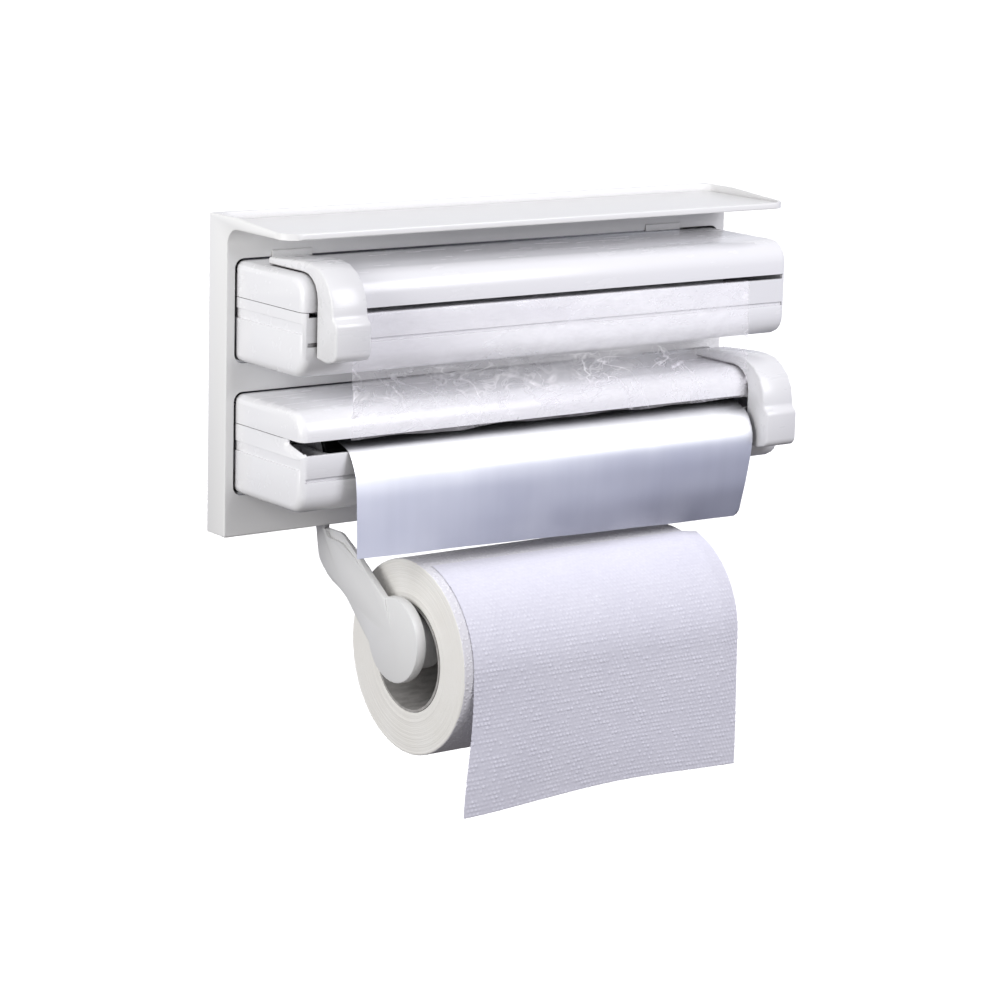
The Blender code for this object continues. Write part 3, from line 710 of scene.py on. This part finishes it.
def build_paper_sheet():
    """The outermost sheet: over the roll's front and down, embossed with small dots."""
    radius = PAPER_R + SHEET_GAP
    arc = [
        (PAPER_Y + radius * math.cos(t), PAPER_Z + radius * math.sin(t))
        for t in np.linspace(SHEET_START, math.pi, 40)
    ]
    hang = [(arc[-1][0] + 0.15, PAPER_Z - 30.0), (arc[-1][0] + 0.6, SHEET_FOOT)]
    whole = arc + hang
    rows = int(sum(math.dist(a, b) for a, b in zip(whole, whole[1:])) / DOT_STEP) + 1
    line, length = along(whole, rows)
    ahead = np.gradient(line, axis=0)
    out = np.column_stack([-ahead[:, 1], ahead[:, 0]])
    out /= -np.linalg.norm(out, axis=1)[:, None]
    columns = int((SHEET_RIGHT - SHEET_LEFT) / DOT_STEP) + 1
    x = np.linspace(SHEET_LEFT, SHEET_RIGHT, columns)
    across, down = np.meshgrid(x, np.linspace(0.0, length, rows), indexing="ij")
    turn_length = radius * (math.pi - SHEET_START)
    free = smooth(turn_length - 6.0, length, down)
    i, j = np.meshgrid(np.arange(columns), np.arange(rows), indexing="ij")
    shift = 2 * (j // 4 % 2)
    dot = (((i + shift) % 4 < 2) & (j % 4 < 2)).astype(float)
    chance = np.random.default_rng(11)
    pressed = chance.uniform(0.1, 1.0, (columns // 4 + 2, rows // 4 + 2))
    patches = 0.5 + 0.6 * waves(across, down, 43, 9, 6.0, 26.0)
    clear = 0.2 + 0.8 * smooth(10.0, 75.0, down)
    dot *= pressed[(i + shift) // 4, j // 4] * clear * np.clip(0.35 + patches, 0.15, 1.3)
    emboss = DOT_HEIGHT * dot
    swell = waves(across, down, 41, 8, 34.0, 120.0)
    left = smooth(-40.0, SHEET_LEFT, across)
    kick = 7.0 * left * smooth(length - 75.0, length, down) ** 1.3
    lift = emboss + free * (0.9 * swell + 0.9) + kick * 0.3
    over = smooth(PAPER_HALF - 4.0, SHEET_RIGHT, across)
    droop = 1.6 * over * (1 - free)
    y = line[None, :, 0] + out[None, :, 0] * (lift - droop)
    z = line[None, :, 1] + out[None, :, 1] * (lift - droop)
    wave = 4.2 * np.sin(math.pi * smooth(SHEET_LEFT, SHEET_RIGHT + 30.0, across)) - 1.2
    z = z + wave * smooth(length - 70.0, length, down)
    points = np.stack([across - kick, y, z], axis=-1)
    mesh = grid(columns, rows, lambda a, b: Vector(points[a, b]) * MM)
    # The dot layer raises the dots and also places the painted shade between them in the paper
    # material.
    layer = mesh.verts.layers.float.new("dot")
    mesh.verts.ensure_lookup_table()
    for vert, value in zip(mesh.verts, dot.reshape(-1)):
        vert[layer] = float(value)
    paper = tissue("sheet_paper", (0.89, 0.89, 0.975), (0.86, 0.86, 0.95))
    sheet = add_piece("paper_sheet", mesh, paper, "frame", "paper", "paper_tail")


# ---------------------------------------------------------------- camera and light

SOFTBOX = 0.6  # its side, in metres
# The light from around, by height, as (place, colour) from straight below to straight above:
# the soft light on matt surfaces, and what glossy ones mirror.
SKY = (
    (0.0, (0.09, 0.085, 0.08)),
    (0.3, (0.17, 0.16, 0.16)),
    (0.45, (0.34, 0.33, 0.34)),
    (0.56, (0.41, 0.405, 0.425)),
    (1.0, (0.33, 0.325, 0.33)),
)
GLEAM = (
    (0.0, (0.02, 0.02, 0.03)),
    (0.24, (0.08, 0.08, 0.105)),
    (0.37, (0.25, 0.26, 0.36)),
    (0.45, (0.42, 0.44, 0.55)),
    (0.55, (0.7, 0.71, 0.76)),
    (0.7, (0.92, 0.92, 0.93)),
    (1.0, (0.8, 0.8, 0.8)),
)


def make_camera():
    """A long lens at the front left, a little above the object."""
    camera = bpy.data.cameras.new("camera")
    camera.sensor_width = 36.0
    camera.lens = 116.2
    camera.shift_x = -0.0112
    camera.shift_y = -0.0519
    obj = bpy.data.objects.new("camera", camera)
    obj.location = (-1.2007, -1.6770, 0.3458)
    obj.rotation_euler = [math.radians(turn) for turn in (78.748, -1.521, -36.139)]
    bpy.context.scene.collection.objects.link(obj)
    bpy.context.scene.camera = obj


def add_lamp(name, kind, source, power, colour):
    """A lamp that shines on the object from the direction of source."""
    light = bpy.data.lights.new(name, kind)
    light.energy = power
    light.color = colour
    lamp = bpy.data.objects.new(name, light)
    lamp.rotation_euler = source.to_track_quat("Z", "Y").to_euler()
    bpy.context.scene.collection.objects.link(lamp)
    return lamp


def near_light(name, place, aim, power, colour):
    """A square softbox that stands close by, so that its light falls off across the object."""
    lamp = add_lamp(name, "AREA", Vector(place) - Vector(aim), power, colour)
    lamp.data.size = SOFTBOX
    lamp.location = place


def make_world():
    """A white backdrop to the camera, and a light that fades downwards on the object."""
    world = bpy.data.worlds.new("studio")
    world.use_nodes = True
    bpy.context.scene.world = world
    tree = world.node_tree
    tree.nodes.clear()
    place = tree.nodes.new("ShaderNodeTexCoord")
    split = tree.nodes.new("ShaderNodeSeparateXYZ")
    height = tree.nodes.new("ShaderNodeMapRange")
    height.inputs["From Min"].default_value = -1.0
    path = tree.nodes.new("ShaderNodeLightPath")
    tree.links.new(place.outputs["Generated"], split.inputs[0])
    tree.links.new(split.outputs["Z"], height.inputs["Value"])
    lights = []
    for stops, strength in ((SKY, 1.0), (GLEAM, 1.45)):
        fade = tree.nodes.new("ShaderNodeValToRGB")
        set_stops(fade, stops)
        light = tree.nodes.new("ShaderNodeBackground")
        light.inputs["Strength"].default_value = strength
        tree.links.new(height.outputs[0], fade.inputs["Fac"])
        tree.links.new(fade.outputs["Color"], light.inputs["Color"])
        lights.append(light.outputs[0])
    seen = tree.nodes.new("ShaderNodeBackground")
    seen.inputs["Color"].default_value = (1.0, 1.0, 1.0, 1.0)
    here = lights[0]
    for ray, light in (("Is Glossy Ray", lights[1]), ("Is Camera Ray", seen.outputs[0])):
        mix = tree.nodes.new("ShaderNodeMixShader")
        tree.links.new(path.outputs[ray], mix.inputs[0])
        tree.links.new(here, mix.inputs[1])
        tree.links.new(light, mix.inputs[2])
        here = mix.outputs[0]
    out = tree.nodes.new("ShaderNodeOutputWorld")
    tree.links.new(here, out.inputs["Surface"])


def make_floor():
    """A wide pale floor, lit white by a lamp of its own, that sends no light back up."""
    half, drop = 60.0, -3.0
    mesh = bmesh.new()
    corners = ((-half, -half), (half, -half), (half, half), (-half, half))
    mesh.faces.new([mesh.verts.new((x, y, drop)) for x, y in corners])
    data = bpy.data.meshes.new("floor")
    mesh.to_mesh(data)
    mesh.free()
    pale = Look("pale_floor", (0.9, 0.9, 0.9), 0.9)
    grain = pale.noise(3.0, 2.0)
    pale.join(pale.ramp(grain, (0.3, (0.89, 0.89, 0.89)), (0.7, (0.92, 0.92, 0.92))), "Base Color")
    data.materials.append(pale.material)
    floor = bpy.data.objects.new("floor", data)
    bpy.context.scene.collection.objects.link(floor)
    floor.visible_diffuse = False
    floor.visible_glossy = False
    floor.visible_transmission = False
    only_floor = bpy.data.collections.new("floor_only")
    only_floor.objects.link(floor)
    lamp = add_lamp("floor_light", "SUN", Vector((0, 0, 1)), 3.4, (1, 1, 1))
    lamp.data.angle = math.radians(60.0)
    lamp.light_linking.receiver_collection = only_floor


def make_studio():
    """The camera, the backdrop and floor, and a softbox on the front and on the left."""
    make_camera()
    make_world()
    make_floor()
    bpy.context.scene.view_settings.view_transform = "Standard"
    near_light("key", (0.3, -0.86, 0.52), (0.0, -0.1, 0.0), 6.9, (0.955, 0.95, 1.0))
    near_light("left", (-1.0, -0.22, 0.27), (-0.19, -0.05, 0.03), 6.5, (1.0, 1.0, 0.985))


# ---------------------------------------------------------------- the whole


def main():
    make_studio()
    build_plastic()
    build_stock_rolls()
    build_film()
    build_foil()
    build_paper_roll()
    build_paper_sheet()


main()
